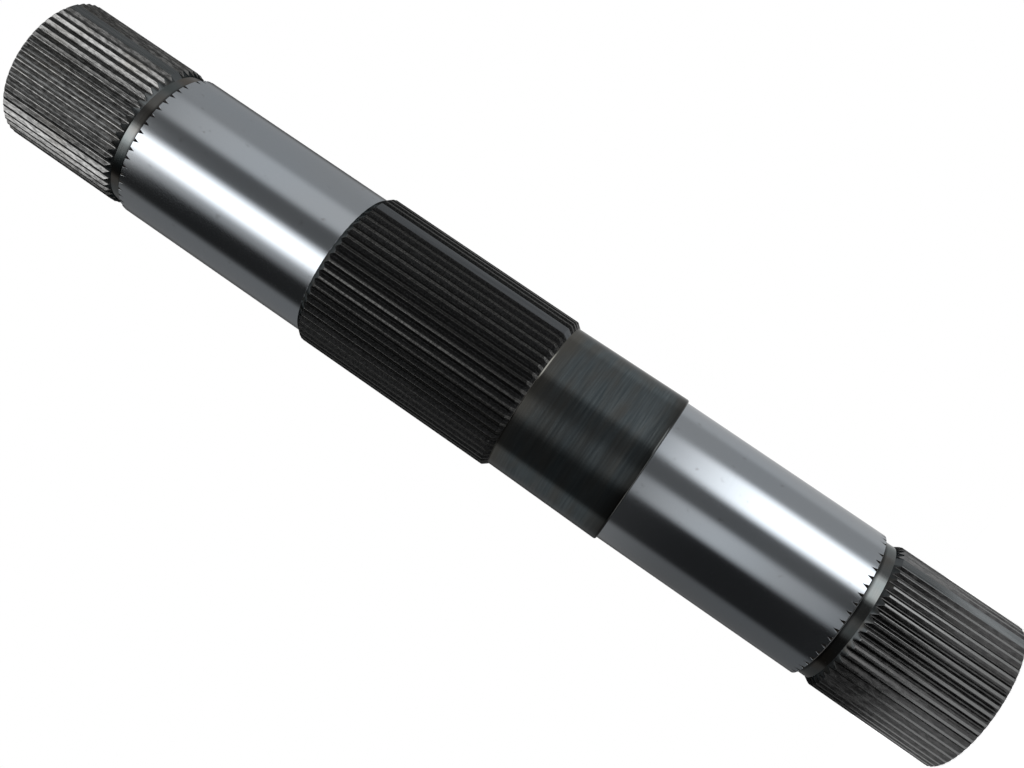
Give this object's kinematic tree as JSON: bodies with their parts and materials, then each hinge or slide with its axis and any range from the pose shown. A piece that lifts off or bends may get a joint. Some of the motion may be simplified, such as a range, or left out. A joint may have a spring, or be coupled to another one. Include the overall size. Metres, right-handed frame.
{
  "type": "splined shaft",
  "caption": "One-piece splined steel shaft with ground bearing journals, toothed ends behind relief grooves, a larger hub spline and a smooth dark collar beside it.",
  "frame": {"origin": "centre of the end B face, the lower end that the shaft stands on", "axes": "+Z along the shaft's axis from end B to end A; the filled tooth gap of the hub spline lies 36.5 degrees from +X towards -Y"},
  "size_m": [0.0698, 0.0698, 0.456],
  "materials": {
    "steel": "ground bright on the journals, dark and oiled on the splines and the collar"
  },
  "bodies": {
    "root": {"shaft": "steel"}
  },
  "joints": []
}
